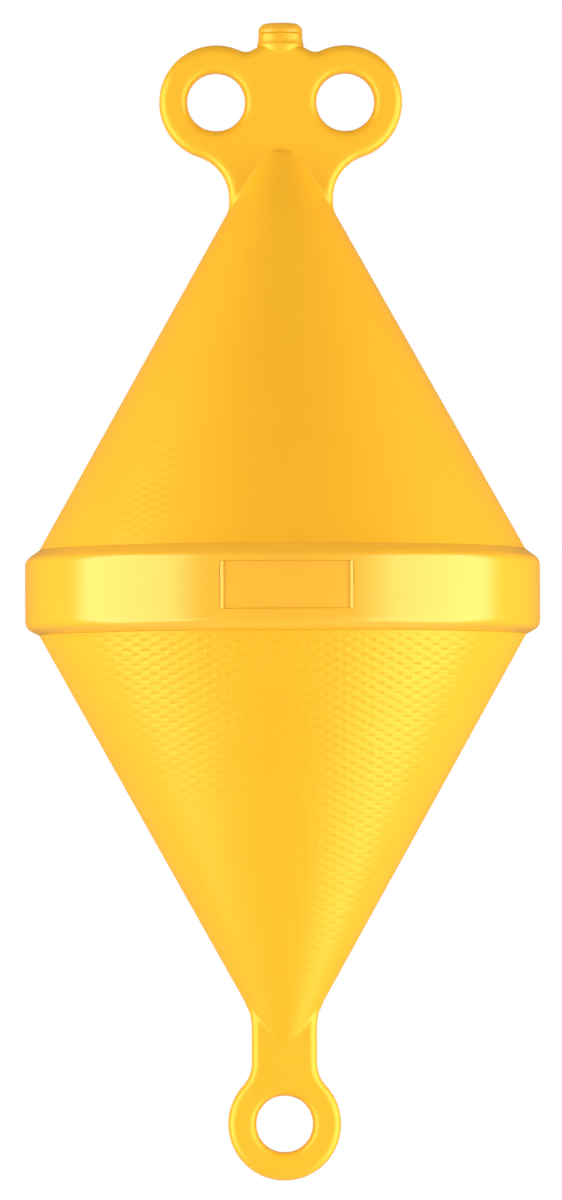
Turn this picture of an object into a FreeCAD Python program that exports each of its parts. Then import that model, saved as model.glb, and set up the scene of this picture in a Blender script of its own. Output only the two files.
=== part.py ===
"""Biconical mooring buoy, about 320 mm across and 720 mm tall.

Two hollow cones meet at a hollow band round the waist. A flat lug with two
eyes stands on the upper cone and a flat lug with one eye hangs under the
lower cone. A filler neck with a plug stands between the two top eyes, and
the front of the band carries a shallow panel for a name.

The origin is on the buoy's axis at the middle of the band, +Z is up, and
the lugs lie in the XZ plane with the name panel facing -Y. Sizes are in
millimetres and degrees. Every driving size stands once, in the sheet.
"""
import FreeCAD
import Part
import Sketcher

import math
import os

SHEET = "sizes"

# name, value, what it is
DRIVING_SIZES = [
    ("waist_radius", 160.0, "outside radius of the band"),
    ("cone_overhang", 6.0, "how far outside the band the cones' sides would meet"),
    ("upper_rise", 296.0, "height of the upper cone's sharp point"),
    ("lower_drop", 298.0, "depth of the lower cone's sharp point"),
    ("skin", 3.0, "wall of the cones and the band"),
    ("tip_radius", 3.0, "radius of the flat at each cone's tip"),
    ("seam_level", 26.5, "distance of each seam between band and cone from the waterline"),
    ("shoulder_height", 6.3, "height of a shoulder's slope up to its seam"),
    ("shoulder_round", 7.0, "radius between the band's side and shoulder"),
    ("panel_angle", 29.4, "angle round the axis that the name panel takes"),
    ("panel_top_margin", 1.3, "flat of the band's side above the panel"),
    ("panel_foot_margin", 2.9, "flat of the band's side below the panel"),
    ("panel_pocket", 1.8, "depth of the pocket that holds the panel"),
    ("panel_plate", 0.9, "thickness of the panel between its ribs"),
    ("panel_rib_angle", 0.8, "angle round the axis that one rib takes"),
    ("panel_rib_rise", 0.5, "how far the ribs stand out of the band"),
    ("seat_gap", 0.1, "clearance between curved faces that sit on each other"),
    ("lug_thickness", 20.0, "thickness of both lugs"),
    ("lug_edge_round", 5.5, "radius along the lugs' outer edges"),
    ("eye_edge_round", 4.0, "radius along the edges of the eyes' holes"),
    ("blend_bite", 0.8, "how deep the bottom lug's whole blend arc would dip into the cone"),
    ("blend_tail", 12.0, "straight run of a lug's edge inside the cone"),
    ("top_eye_offset", 40.2, "distance of each top eye from the axis"),
    ("top_eye_lift", 9.3, "height of the top eyes above the upper cone's sharp point"),
    ("top_hole_radius", 18.25, "radius of a top eye's hole"),
    ("top_eye_wall", 17.15, "width of a top eye round its hole"),
    ("top_neck_half_width", 32.3, "half the top lug's width where it meets the cone"),
    ("top_blend_radius", 27.5, "concave arc under a top eye"),
    ("valley_radius", 8.0, "concave arc from a top eye to the filler neck"),
    ("bottom_eye_drop", 32.0, "depth of the bottom eye below the lower cone's sharp point"),
    ("bottom_hole_radius", 17.8, "radius of the bottom eye's hole"),
    ("bottom_eye_wall", 17.2, "width of the bottom eye round its hole"),
    ("shank_half_width", 20.2, "half the width of the bottom lug between eye and cone"),
    ("shank_eye_radius", 21.0, "concave arc from the shank to the bottom eye"),
    ("shank_cone_radius", 42.0, "concave arc from the shank to the cone"),
    ("boss_sink", 3.6, "depth of the lug's top face below the middle of the valley arc"),
    ("boss_drop", 7.0, "height over which the boss under the neck tapers into the lug"),
    ("boss_wall", 2.0, "wall of the boss round the foot of its socket"),
    ("neck_radius", 13.7, "outside radius of the filler neck"),
    ("neck_wall", 5.7, "wall of the filler neck"),
    ("neck_height", 7.2, "height of the filler neck"),
    ("groove_bevel", 0.8, "bevel each side of the groove between neck and plug"),
    ("plug_head", 6.3, "height of the plug's head above the neck's rim"),
    ("plug_round", 5.0, "radius round the plug's top"),
    ("plug_depth", 12.0, "length of the plug's stem"),
    ("plug_bevel", 1.0, "bevel at the stem's end"),
    ("plug_clearance", 0.2, "gap round the plug's stem"),
    ("socket_spare", 1.5, "room under the plug's stem"),
]


class Size:
    """A number together with the sheet expression that gives it.

    Sums of sizes give both at once, so a sketch is drawn at its real place
    and its constraints stay bound to the sheet.
    """

    def __init__(self, value, text):
        self.value = value
        self.text = text

    @staticmethod
    def of(other):
        if isinstance(other, Size):
            return other
        return Size(float(other), repr(float(other)))

    def __add__(self, other):
        other = Size.of(other)
        return Size(self.value + other.value, f"({self.text} + {other.text})")

    def __sub__(self, other):
        other = Size.of(other)
        return Size(self.value - other.value, f"({self.text} - {other.text})")

    def __mul__(self, other):
        other = Size.of(other)
        return Size(self.value * other.value, f"({self.text} * {other.text})")

    def __truediv__(self, other):
        other = Size.of(other)
        return Size(self.value / other.value, f"({self.text} / {other.text})")

    def __neg__(self):
        return Size(-self.value, f"(0 - {self.text})")

    def __radd__(self, other):
        return Size.of(other) + self

    def __rsub__(self, other):
        return Size.of(other) - self

    def __rmul__(self, other):
        return Size.of(other) * self


def root(size):
    """Square root of a size."""
    return Size(math.sqrt(size.value), f"sqrt({size.text})")


def fill_sheet(doc):
    """Write the driving sizes to the sheet and return them by name."""
    sheet = doc.addObject("Spreadsheet::Sheet", SHEET)
    sizes = {}
    for row, (name, value, meaning) in enumerate(DRIVING_SIZES, start=1):
        sheet.set(f"A{row}", name)
        sheet.set(f"B{row}", str(value))
        sheet.set(f"C{row}", meaning)
        sheet.setAlias(f"B{row}", name)
        sizes[name] = Size(value, f"{SHEET}.{name}")
    doc.recompute()
    return sizes


def add_following_sizes(sizes):
    """Sizes and levels that follow from the driving ones."""
    sizes["cone_radius"] = sizes["waist_radius"] + sizes["cone_overhang"]
    sizes["shoulder_level"] = sizes["seam_level"] - sizes["shoulder_height"]
    sizes["top_eye_level"] = sizes["upper_rise"] + sizes["top_eye_lift"]
    sizes["top_eye_radius"] = sizes["top_hole_radius"] + sizes["top_eye_wall"]
    sizes["bottom_eye_level"] = -(sizes["lower_drop"] + sizes["bottom_eye_drop"])
    sizes["bottom_eye_radius"] = sizes["bottom_hole_radius"] + sizes["bottom_eye_wall"]
    sizes["neck_bore"] = sizes["neck_radius"] - sizes["neck_wall"]
    sizes["boss_level"] = valley_centre(sizes)[1] - sizes["boss_sink"]
    sizes["neck_level"] = sizes["boss_level"] + sizes["neck_height"]
    sizes["plug_level"] = sizes["neck_level"] + sizes["plug_head"]


# ---------------------------------------------------------------- sketches

def origin_plane(body, role):
    """The body's own origin plane or axis with this role."""
    for feature in body.Origin.OriginFeatures:
        if feature.Role == role:
            return feature
    raise ValueError(f"{body.Name} has no {role}")


def new_sketch(body, name, role="XZ_Plane"):
    """An empty sketch on one of the body's origin planes."""
    sketch = body.newObject("Sketcher::SketchObject", name)
    sketch.AttachmentSupport = [(origin_plane(body, role), "")]
    sketch.MapMode = "FlatFace"
    return sketch


def bind(sketch, constraint, name, size):
    """Add a named constraint and bind it to the sheet."""
    sketch.addConstraint(constraint)
    index = sketch.ConstraintCount - 1
    sketch.renameConstraint(index, name)
    sketch.setExpression(f"Constraints.{name}", size.text)


def pin_point(sketch, geometry, end, point, name):
    """Hold one end of a line or arc at a point given by two sizes."""
    across, up = point
    if across.value == 0.0:
        sketch.addConstraint(Sketcher.Constraint("PointOnObject", geometry, end, -2))
    else:
        bind(sketch, Sketcher.Constraint("DistanceX", -1, 1, geometry, end, across.value),
             f"{name}_across", across)
    if up.value == 0.0:
        sketch.addConstraint(Sketcher.Constraint("PointOnObject", geometry, end, -1))
    else:
        bind(sketch, Sketcher.Constraint("DistanceY", -1, 1, geometry, end, up.value),
             f"{name}_up", up)


def vector(point):
    return FreeCAD.Vector(point[0].value, point[1].value, 0)


def arc_between(start, end, centre, anticlockwise):
    """Circular arc from start to end about a centre, all in sketch coordinates."""
    angle_from = math.atan2(start.y - centre.y, start.x - centre.x)
    angle_to = math.atan2(end.y - centre.y, end.x - centre.x)
    if not anticlockwise:
        angle_from, angle_to = angle_to, angle_from
    if angle_to < angle_from:
        angle_to += 2 * math.pi
    circle = Part.Circle(centre, FreeCAD.Vector(0, 0, 1), (start - centre).Length)
    return Part.ArcOfCircle(circle, angle_from, angle_to)


def draw_outline(sketch, steps):
    """Draw a closed outline of lines and arcs.

    Each step is (point,) for a line to the point, or
    (point, centre, radius, anticlockwise) for an arc to it. The last
    point is also where the outline starts.
    """
    start = steps[-1][0]
    ends = []
    for number, step in enumerate(steps):
        point = step[0]
        name = f"corner{number}"
        if len(step) == 1:
            index = sketch.addGeometry(Part.LineSegment(vector(start), vector(point)))
            first, last = 1, 2
        else:
            _, centre, radius, anticlockwise = step
            arc = arc_between(vector(start), vector(point), vector(centre), anticlockwise)
            index = sketch.addGeometry(arc)
            first, last = (1, 2) if anticlockwise else (2, 1)
            bind(sketch, Sketcher.Constraint("Radius", index, radius.value),
                 f"round{number}", radius)
        pin_point(sketch, index, last, point, name)
        ends.append((index, first, last))
        start = point
    for (index, _, last), (following, first, _) in zip(ends, ends[1:] + ends[:1]):
        sketch.addConstraint(Sketcher.Constraint("Coincident", index, last, following, first))


def draw_circle(sketch, centre, radius, name):
    """Draw a circle with its centre and radius bound to the sheet."""
    circle = Part.Circle(vector(centre), FreeCAD.Vector(0, 0, 1), radius.value)
    index = sketch.addGeometry(circle)
    bind(sketch, Sketcher.Constraint("Radius", index, radius.value), f"{name}_radius", radius)
    pin_point(sketch, index, 3, centre, name)


# ---------------------------------------------------------------- features

def new_body(doc, label):
    body = doc.addObject("PartDesign::Body", label)
    body.Label = label
    return body


def turn(doc, body, kind, sketch, name):
    """Revolve a sketch round the body's Z axis, to add or to cut."""
    feature = body.newObject(kind, name)
    feature.Profile = sketch
    feature.ReferenceAxis = (origin_plane(body, "Z_Axis"), [""])
    feature.Angle = 360
    sketch.Visibility = False
    doc.recompute()
    return feature


def cut_is_real(before, feature):
    """Stop if a cutting feature removed nothing."""
    removed = before - feature.Shape.Volume
    if removed < 1.0:
        raise RuntimeError(f"{feature.Label} removes {removed:.3f} cubic mm")


def turned_cut(doc, body, sketch, name):
    before = body.Shape.Volume
    feature = turn(doc, body, "PartDesign::Groove", sketch, name)
    cut_is_real(before, feature)
    return feature


def round_edges(doc, body, edges, radius, name):
    """Round some edges of the body's last feature."""
    base = body.Tip
    feature = body.newObject("PartDesign::Fillet", name)
    feature.Base = (base, edges)
    feature.Radius = radius.value
    feature.setExpression("Radius", radius.text)
    doc.recompute()
    return feature


# ---------------------------------------------------------------- cones

def cone_corner(sizes, rise, level):
    """Point on a cone's side at a level, given the height of its sharp point."""
    return (sizes["cone_radius"] * (1 - level / rise), level)


def cone_side(sizes, rise):
    """Cosine and sine of the angle between a cone's side and its axis."""
    slant = root(sizes["cone_radius"] * sizes["cone_radius"] + rise * rise)
    return rise / slant, sizes["cone_radius"] / slant


def tip_level(sizes, rise):
    """Level of the flat at a cone's tip."""
    return rise * (1 - sizes["tip_radius"] / sizes["cone_radius"])


def cone_solid_steps(sizes, rise, sign, swell):
    """Outline of a solid cone, made larger all round by swell.

    It runs from the cone's seam to its flat tip.
    """
    wider = swell / cone_side(sizes, rise)[0]
    foot = sizes["seam_level"]
    tip = tip_level(sizes, rise) + swell
    return [
        ((cone_corner(sizes, rise, foot)[0] + wider, sign * foot),),
        ((cone_corner(sizes, rise, tip)[0] + wider, sign * tip),),
        ((Size.of(0), sign * tip),),
        ((Size.of(0), sign * foot),),
    ]


def cone_shell(doc, sizes, label, rise, sign):
    """Hollow cone from its seam with the band to its flat tip."""
    body = new_body(doc, label)
    sketch = new_sketch(body, f"{label}_profile")
    cosine, _ = cone_side(sizes, rise)
    wall_across = sizes["skin"] / cosine
    seam = sizes["seam_level"]
    tip = tip_level(sizes, rise)
    seam_radius, _ = cone_corner(sizes, rise, seam)
    inner_tip = tip - sizes["skin"]
    inner_tip_radius = cone_corner(sizes, rise, inner_tip)[0] - wall_across
    draw_outline(sketch, [
        ((seam_radius, sign * seam),),
        ((sizes["tip_radius"], sign * tip),),
        ((Size.of(0), sign * tip),),
        ((Size.of(0), sign * inner_tip),),
        ((inner_tip_radius, sign * inner_tip),),
        ((seam_radius - wall_across, sign * seam),),
    ])
    turn(doc, body, "PartDesign::Revolution", sketch, f"{label}_turn")
    return body


# ---------------------------------------------------------------- waist band

def shoulder_arc(sizes, rise, sign):
    """Rounding between the band's side and a shoulder.

    Returns its end on the side, its end on the slope and its centre.
    """
    side = sizes["waist_radius"]
    level = sizes["shoulder_level"]
    run = side - cone_corner(sizes, rise, sizes["seam_level"])[0]
    climb = sizes["shoulder_height"]
    slope = root(run * run + climb * climb)
    setback = sizes["shoulder_round"] * (slope - climb) / run
    on_side = (side, sign * (level - setback))
    on_slope = (side - run * setback / slope, sign * (level + climb * setback / slope))
    centre = (side - sizes["shoulder_round"], sign * (level - setback))
    return on_side, on_slope, centre


def waist_band(doc, sizes):
    """Hollow band with sloped shoulders and a pocket for the name panel."""
    body = new_body(doc, "waist_band")
    sketch = new_sketch(body, "band_profile")
    inner_side = sizes["waist_radius"] - sizes["skin"]
    inner_level = sizes["shoulder_level"] - sizes["skin"]
    seam = sizes["seam_level"]
    lip_level = seam - sizes["skin"] / 2
    upper_edge = cone_corner(sizes, sizes["upper_rise"], seam)[0]
    lower_edge = cone_corner(sizes, sizes["lower_drop"], seam)[0]
    upper_inner = upper_edge - sizes["skin"] / cone_side(sizes, sizes["upper_rise"])[0]
    lower_inner = lower_edge - sizes["skin"] / cone_side(sizes, sizes["lower_drop"])[0]
    top_side, top_slope, top_centre = shoulder_arc(sizes, sizes["upper_rise"], 1)
    low_side, low_slope, low_centre = shoulder_arc(sizes, sizes["lower_drop"], -1)
    draw_outline(sketch, [
        (low_slope,),
        (low_side, low_centre, sizes["shoulder_round"], True),
        (top_side,),
        (top_slope, top_centre, sizes["shoulder_round"], True),
        ((upper_edge, seam),),
        ((upper_inner, seam),),
        ((upper_inner, lip_level),),
        ((inner_side, inner_level),),
        ((inner_side, -inner_level),),
        ((lower_inner, -lip_level),),
        ((lower_inner, -seam),),
        ((lower_edge, -seam),),
    ])
    turn(doc, body, "PartDesign::Revolution", sketch, "band_turn")
    cut_panel_pocket(doc, body, sizes)
    return body


def sector_steps(inner, outer, foot, top):
    """Rectangle between two radii and two levels."""
    return [
        ((outer, foot),),
        ((outer, top),),
        ((inner, top),),
        ((inner, foot),),
    ]


def turn_sector(doc, body, kind, steps, name, angle, middle=None):
    """Revolve a profile through an angle, its middle facing -Y.

    The sketch lies in the YZ plane, where -Y is to the left, so its
    points are given to the left of the axis.
    """
    sketch = new_sketch(body, f"{name}_profile", "YZ_Plane")
    draw_outline(sketch, [((-point[0], point[1]),) for (point,) in steps])
    feature = body.newObject(kind, name)
    feature.Profile = sketch
    feature.ReferenceAxis = (origin_plane(body, "Z_Axis"), [""])
    if middle is None:
        feature.Midplane = True
        feature.Angle = angle.value
        feature.setExpression("Angle", angle.text)
    else:
        feature.Type = "TwoAngles"
        near = middle - angle / 2
        far = middle + angle / 2
        feature.Angle = far.value
        feature.setExpression("Angle", far.text)
        feature.Angle2 = -near.value
        feature.setExpression("Angle2", (-near).text)
    sketch.Visibility = False
    doc.recompute()
    return feature


def panel_levels(sizes):
    """Foot and top of the name panel."""
    side_foot = shoulder_arc(sizes, sizes["lower_drop"], -1)[0][1]
    side_top = shoulder_arc(sizes, sizes["upper_rise"], 1)[0][1]
    return side_foot + sizes["panel_foot_margin"], side_top - sizes["panel_top_margin"]


def cut_panel_pocket(doc, body, sizes):
    """Pocket in the front of the band for the name panel."""
    foot, top = panel_levels(sizes)
    floor = sizes["waist_radius"] - sizes["panel_pocket"]
    beyond = sizes["waist_radius"] + sizes["panel_pocket"]
    before = body.Shape.Volume
    pocket = turn_sector(doc, body, "PartDesign::Groove",
                         sector_steps(floor, beyond, foot, top),
                         "panel_pocket_cut", sizes["panel_angle"])
    cut_is_real(before, pocket)


def name_panel(doc, sizes):
    """Bare curved plate in the band's pocket, with a rib at each end."""
    body = new_body(doc, "name_panel")
    foot, top = panel_levels(sizes)
    back = sizes["waist_radius"] - sizes["panel_pocket"] + sizes["seat_gap"]
    face = back + sizes["panel_plate"]
    crest = sizes["waist_radius"] + sizes["panel_rib_rise"]
    rib = sizes["panel_rib_angle"]
    turn_sector(doc, body, "PartDesign::Revolution", sector_steps(back, face, foot, top),
                "plate", sizes["panel_angle"])
    for name, side in (("rib_left", -1), ("rib_right", 1)):
        middle = side * (sizes["panel_angle"] - rib) / 2
        turn_sector(doc, body, "PartDesign::Revolution",
                    sector_steps(back, crest, foot, top), name, rib, middle)
    return body


# ---------------------------------------------------------------- lugs

def between(start, end, share):
    """Point part of the way from start to end."""
    return (start[0] + (end[0] - start[0]) * share, start[1] + (end[1] - start[1]) * share)


def valley_centre(sizes):
    """Centre of the concave arc between a top eye and the filler neck."""
    reach = sizes["top_eye_radius"] + sizes["valley_radius"]
    across = sizes["neck_radius"] + sizes["valley_radius"]
    gap = sizes["top_eye_offset"] - across
    return across, sizes["top_eye_level"] + root(reach * reach - gap * gap)


def boss_corner(sizes):
    """Where the valley arc reaches the lug's top face."""
    across, _ = valley_centre(sizes)
    radius = sizes["valley_radius"]
    drop = sizes["boss_sink"]
    return across - root(radius * radius - drop * drop), sizes["boss_level"]


def top_outline_steps(sizes):
    """Right half of the top lug: boss, valley, eye and blend to the cone."""
    eye = (sizes["top_eye_offset"], sizes["top_eye_level"])
    eye_radius = sizes["top_eye_radius"]
    valley_middle = valley_centre(sizes)
    valley_radius = sizes["valley_radius"]
    valley_on_eye = between(eye, valley_middle, eye_radius / (eye_radius + valley_radius))

    half_width = sizes["top_neck_half_width"]
    blend = sizes["top_blend_radius"]
    reach = eye_radius + blend
    gap = half_width + blend - eye[0]
    blend_centre = (half_width + blend, eye[1] - root(reach * reach - gap * gap))
    blend_on_eye = between(eye, blend_centre, eye_radius / reach)
    covered = half_width + sizes["blend_tail"] / 2
    tail_level = sizes["upper_rise"] * (1 - covered / sizes["cone_radius"])
    return [
        ((half_width, tail_level),),
        ((half_width, blend_centre[1]),),
        (blend_on_eye, blend_centre, blend, False),
        (valley_on_eye, eye, eye_radius, True),
        (boss_corner(sizes), valley_middle, valley_radius, False),
        ((Size.of(0), sizes["boss_level"]),),
        ((Size.of(0), tail_level),),
    ]


def bottom_outline_steps(sizes):
    """Right half of the bottom lug: blend to the cone, shank and eye."""
    eye = (Size.of(0), sizes["bottom_eye_level"])
    eye_radius = sizes["bottom_eye_radius"]
    shank = sizes["shank_half_width"]

    fillet = sizes["shank_eye_radius"]
    reach = eye_radius + fillet
    away = shank + fillet
    fillet_centre = (away, eye[1] + root(reach * reach - away * away))
    fillet_on_eye = between(eye, fillet_centre, eye_radius / reach)

    cosine, sine = cone_side(sizes, sizes["lower_drop"])
    blend = sizes["shank_cone_radius"]
    outer = shank + blend
    side_distance = sizes["cone_radius"] * cosine
    level = (outer * cosine - side_distance - blend + sizes["blend_bite"]) / sine
    blend_centre = (outer, level)
    dip_cosine = 1 - sizes["blend_bite"] / blend
    dip_sine = root(1 - dip_cosine * dip_cosine)
    arc_end = (outer - blend * (dip_cosine * cosine + dip_sine * sine),
               level + blend * (dip_cosine * sine - dip_sine * cosine))
    tail_end = (arc_end[0] + sizes["blend_tail"] * (dip_cosine * sine - dip_sine * cosine),
                arc_end[1] + sizes["blend_tail"] * (dip_cosine * cosine + dip_sine * sine))
    return [
        ((Size.of(0), eye[1] - eye_radius),),
        (fillet_on_eye, eye, eye_radius, True),
        ((shank, fillet_centre[1]), fillet_centre, fillet, False),
        ((shank, level),),
        (arc_end, blend_centre, blend, False),
        (tail_end,),
        ((Size.of(0), tail_end[1]),),
    ]


def pad_lug(doc, body, sizes, steps):
    """Plate of the lug's thickness from one half of its outline, mirrored."""
    sketch = new_sketch(body, f"{body.Name}_outline")
    draw_outline(sketch, steps)
    pad = body.newObject("PartDesign::Pad", f"{body.Name}_half")
    pad.Profile = sketch
    pad.SideType = "Symmetric"
    pad.Length = sizes["lug_thickness"].value
    pad.setExpression("Length", sizes["lug_thickness"].text)
    sketch.Visibility = False
    doc.recompute()
    mirrored = body.newObject("PartDesign::Mirrored", f"{body.Name}_whole")
    mirrored.Originals = [pad]
    mirrored.MirrorPlane = (origin_plane(body, "YZ_Plane"), [""])
    body.Tip = mirrored
    doc.recompute()


def drill_eyes(doc, body, centres, radius):
    """Round holes through the lug."""
    sketch = new_sketch(body, f"{body.Name}_holes")
    for number, centre in enumerate(centres):
        draw_circle(sketch, centre, radius, f"hole{number}")
    before = body.Shape.Volume
    pocket = body.newObject("PartDesign::Pocket", f"{body.Name}_eyes")
    pocket.Profile = sketch
    pocket.Type = "ThroughAll"
    pocket.SideType = "Symmetric"
    sketch.Visibility = False
    doc.recompute()
    cut_is_real(before, pocket)


def face_edges(body, sizes, wanted):
    """Names of the edges on the lug's two flat faces that a test accepts."""
    half = sizes["lug_thickness"].value / 2
    names = []
    for number, edge in enumerate(body.Shape.Edges, start=1):
        middle = edge.valueAt((edge.FirstParameter + edge.LastParameter) / 2)
        on_face = all(abs(abs(vertex.Y) - half) < 1e-6 for vertex in edge.Vertexes)
        if on_face and abs(abs(middle.y) - half) < 1e-6 and wanted(edge):
            names.append(f"Edge{number}")
    return names


def round_lug(doc, body, sizes, hole_radius):
    """Round the outer edges and the edges of the holes."""
    def is_arc(edge):
        return isinstance(edge.Curve, Part.Circle)

    def is_hole(edge):
        return is_arc(edge) and abs(edge.Curve.Radius - hole_radius.value) < 1e-6

    def is_level(edge):
        return abs(edge.Vertexes[0].Z - edge.Vertexes[-1].Z) < 1e-6 and not is_arc(edge)

    def is_outside(edge):
        return not is_hole(edge) and not is_level(edge)

    round_edges(doc, body, face_edges(body, sizes, is_outside),
                sizes["lug_edge_round"], f"{body.Name}_outer_round")
    round_edges(doc, body, face_edges(body, sizes, is_hole),
                sizes["eye_edge_round"], f"{body.Name}_hole_round")


def seat_on_cone(doc, body, sizes, rise, sign):
    """Hollow the lug to the shape of the cone that it sits on."""
    sketch = new_sketch(body, f"{body.Name}_seat")
    draw_outline(sketch, cone_solid_steps(sizes, rise, sign, sizes["seat_gap"]))
    turned_cut(doc, body, sketch, f"{body.Name}_seat_cut")


def top_eye_plate(doc, sizes):
    """Flat lug with two eyes, and the boss that carries the filler neck."""
    body = new_body(doc, "top_eye_plate")
    pad_lug(doc, body, sizes, top_outline_steps(sizes))
    level = sizes["top_eye_level"]
    offset = sizes["top_eye_offset"]
    drill_eyes(doc, body, [(offset, level), (-offset, level)], sizes["top_hole_radius"])
    round_lug(doc, body, sizes, sizes["top_hole_radius"])

    boss = new_sketch(body, "boss_profile")
    foot = sizes["boss_level"] - sizes["boss_drop"]
    draw_outline(boss, [
        ((sizes["neck_bore"] + sizes["boss_wall"], foot),),
        (boss_corner(sizes),),
        ((Size.of(0), sizes["boss_level"]),),
        ((Size.of(0), foot),),
    ])
    turn(doc, body, "PartDesign::Revolution", boss, "boss")

    socket = new_sketch(body, "socket_profile")
    depth = sizes["neck_level"] - sizes["plug_depth"] - sizes["socket_spare"]
    draw_outline(socket, [
        ((sizes["neck_bore"], depth),),
        ((sizes["neck_bore"], sizes["boss_level"] + 1),),
        ((Size.of(0), sizes["boss_level"] + 1),),
        ((Size.of(0), depth),),
    ])
    turned_cut(doc, body, socket, "socket")
    seat_on_cone(doc, body, sizes, sizes["upper_rise"], 1)
    return body


def bottom_eye(doc, sizes):
    """Flat lug with one eye."""
    body = new_body(doc, "bottom_eye")
    pad_lug(doc, body, sizes, bottom_outline_steps(sizes))
    centre = (Size.of(0), sizes["bottom_eye_level"])
    drill_eyes(doc, body, [centre], sizes["bottom_hole_radius"])
    round_lug(doc, body, sizes, sizes["bottom_hole_radius"])
    seat_on_cone(doc, body, sizes, sizes["lower_drop"], -1)
    return body


# ---------------------------------------------------------------- filler

def filler_neck(doc, sizes):
    """Short tube with a flared root on the lug's boss."""
    body = new_body(doc, "filler_neck")
    sketch = new_sketch(body, "neck_profile")
    flare_centre = valley_centre(sizes)
    radius = sizes["neck_radius"]
    bevel = sizes["groove_bevel"]
    rim = sizes["neck_level"]
    draw_outline(sketch, [
        (boss_corner(sizes),),
        ((radius, flare_centre[1]), flare_centre, sizes["valley_radius"], False),
        ((radius, rim - bevel),),
        ((radius - bevel, rim),),
        ((sizes["neck_bore"], rim),),
        ((sizes["neck_bore"], sizes["boss_level"]),),
    ])
    turn(doc, body, "PartDesign::Revolution", sketch, "neck_turn")
    return body


def filler_plug(doc, sizes):
    """Plug with a domed head that sits on the neck's rim."""
    body = new_body(doc, "filler_plug")
    sketch = new_sketch(body, "plug_profile")
    radius = sizes["neck_radius"]
    dome = sizes["plug_round"]
    bevel = sizes["groove_bevel"]
    rim = sizes["neck_level"]
    top = sizes["plug_level"]
    stem = sizes["neck_bore"] - sizes["plug_clearance"]
    foot = rim - sizes["plug_depth"]
    tip_bevel = sizes["plug_bevel"]
    draw_outline(sketch, [
        ((stem - tip_bevel, foot),),
        ((stem, foot + tip_bevel),),
        ((stem, rim),),
        ((radius - bevel, rim),),
        ((radius, rim + bevel),),
        ((radius, top - dome),),
        ((radius - dome, top), (radius - dome, top - dome), dome, True),
        ((Size.of(0), top),),
        ((Size.of(0), foot),),
    ])
    turn(doc, body, "PartDesign::Revolution", sketch, "plug_turn")
    return body


# ---------------------------------------------------------------- check and write

def check_document(doc, bodies):
    """Stop unless every object is sound and every sub-part is one valid solid."""
    for item in doc.Objects:
        if "Invalid" in item.State or "Error" in item.State:
            raise RuntimeError(f"{item.Label} is {item.State}")
    for body in bodies:
        shape = body.Shape
        if shape.isNull() or not shape.isValid():
            raise RuntimeError(f"{body.Label} has no valid shape")
        if len(shape.Solids) != 1:
            raise RuntimeError(f"{body.Label} has {len(shape.Solids)} solids")


def main():
    doc = FreeCAD.newDocument("mooring_buoy")
    sizes = fill_sheet(doc)
    add_following_sizes(sizes)
    bodies = [
        cone_shell(doc, sizes, "upper_cone", sizes["upper_rise"], 1),
        cone_shell(doc, sizes, "lower_cone", sizes["lower_drop"], -1),
        waist_band(doc, sizes),
        name_panel(doc, sizes),
        top_eye_plate(doc, sizes),
        bottom_eye(doc, sizes),
        filler_neck(doc, sizes),
        filler_plug(doc, sizes),
    ]
    doc.recompute()
    check_document(doc, bodies)
    os.makedirs("parts", exist_ok=True)
    for body in bodies:
        body.Shape.exportStep(f"parts/{body.Label}.step")
        print(f"{body.Label}: {body.Shape.Volume / 1000:.1f} cubic cm")


main()
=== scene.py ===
"""Looks of a biconical mooring buoy, dressed round its packed engineering model.

The buoy is one hollow moulding in yellow polyethylene: two cones with a raised
lattice meet at a smooth band, a lug with two eyes stands on top and a lug with
one eye hangs below. A loose plug closes the filler neck between the top eyes.
Everything is in metres, in the frame of the engineering model: the origin is
in the middle of the band, +Z is up and the name panel faces -Y.
"""
import logging
import math
from collections.abc import Callable, Iterator, Sequence
from contextlib import contextmanager
from dataclasses import dataclass, field
from enum import Enum

import bmesh
import bpy
from mathutils import Matrix, Vector


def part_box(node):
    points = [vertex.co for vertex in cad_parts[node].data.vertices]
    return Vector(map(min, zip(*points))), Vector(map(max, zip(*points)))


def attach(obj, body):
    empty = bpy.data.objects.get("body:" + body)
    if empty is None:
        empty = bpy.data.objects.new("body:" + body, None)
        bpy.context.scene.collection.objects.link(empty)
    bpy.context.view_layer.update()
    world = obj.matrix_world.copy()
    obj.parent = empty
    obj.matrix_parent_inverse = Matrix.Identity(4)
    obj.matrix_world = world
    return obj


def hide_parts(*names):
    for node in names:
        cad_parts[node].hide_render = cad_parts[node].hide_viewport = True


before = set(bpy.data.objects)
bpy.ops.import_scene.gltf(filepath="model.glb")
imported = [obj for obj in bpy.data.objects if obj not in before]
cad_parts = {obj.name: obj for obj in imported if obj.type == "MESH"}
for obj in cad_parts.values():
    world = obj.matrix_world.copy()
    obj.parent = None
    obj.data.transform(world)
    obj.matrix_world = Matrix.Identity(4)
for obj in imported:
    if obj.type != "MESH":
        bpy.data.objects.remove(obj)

log = logging.getLogger("mooring_buoy")

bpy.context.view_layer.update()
MM = 0.001
SAME_PLACE = 1e-5
SAME_ANGLE = 1e-4
FACET_SLACK = 0.2 * MM
WHITE = (1.0, 1.0, 1.0, 1.0)
Point = tuple[float, float]
Place = tuple[float, float, float]
Span = tuple[float, float]
Round = tuple[float, int]
Colour = tuple[float, float, float]
Piece = bpy.types.Object
Material = bpy.types.Material
Socket = bpy.types.NodeSocket
Vert = bmesh.types.BMVert
Edge = bmesh.types.BMEdge
Face = bmesh.types.BMFace


# -------- node trees

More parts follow.
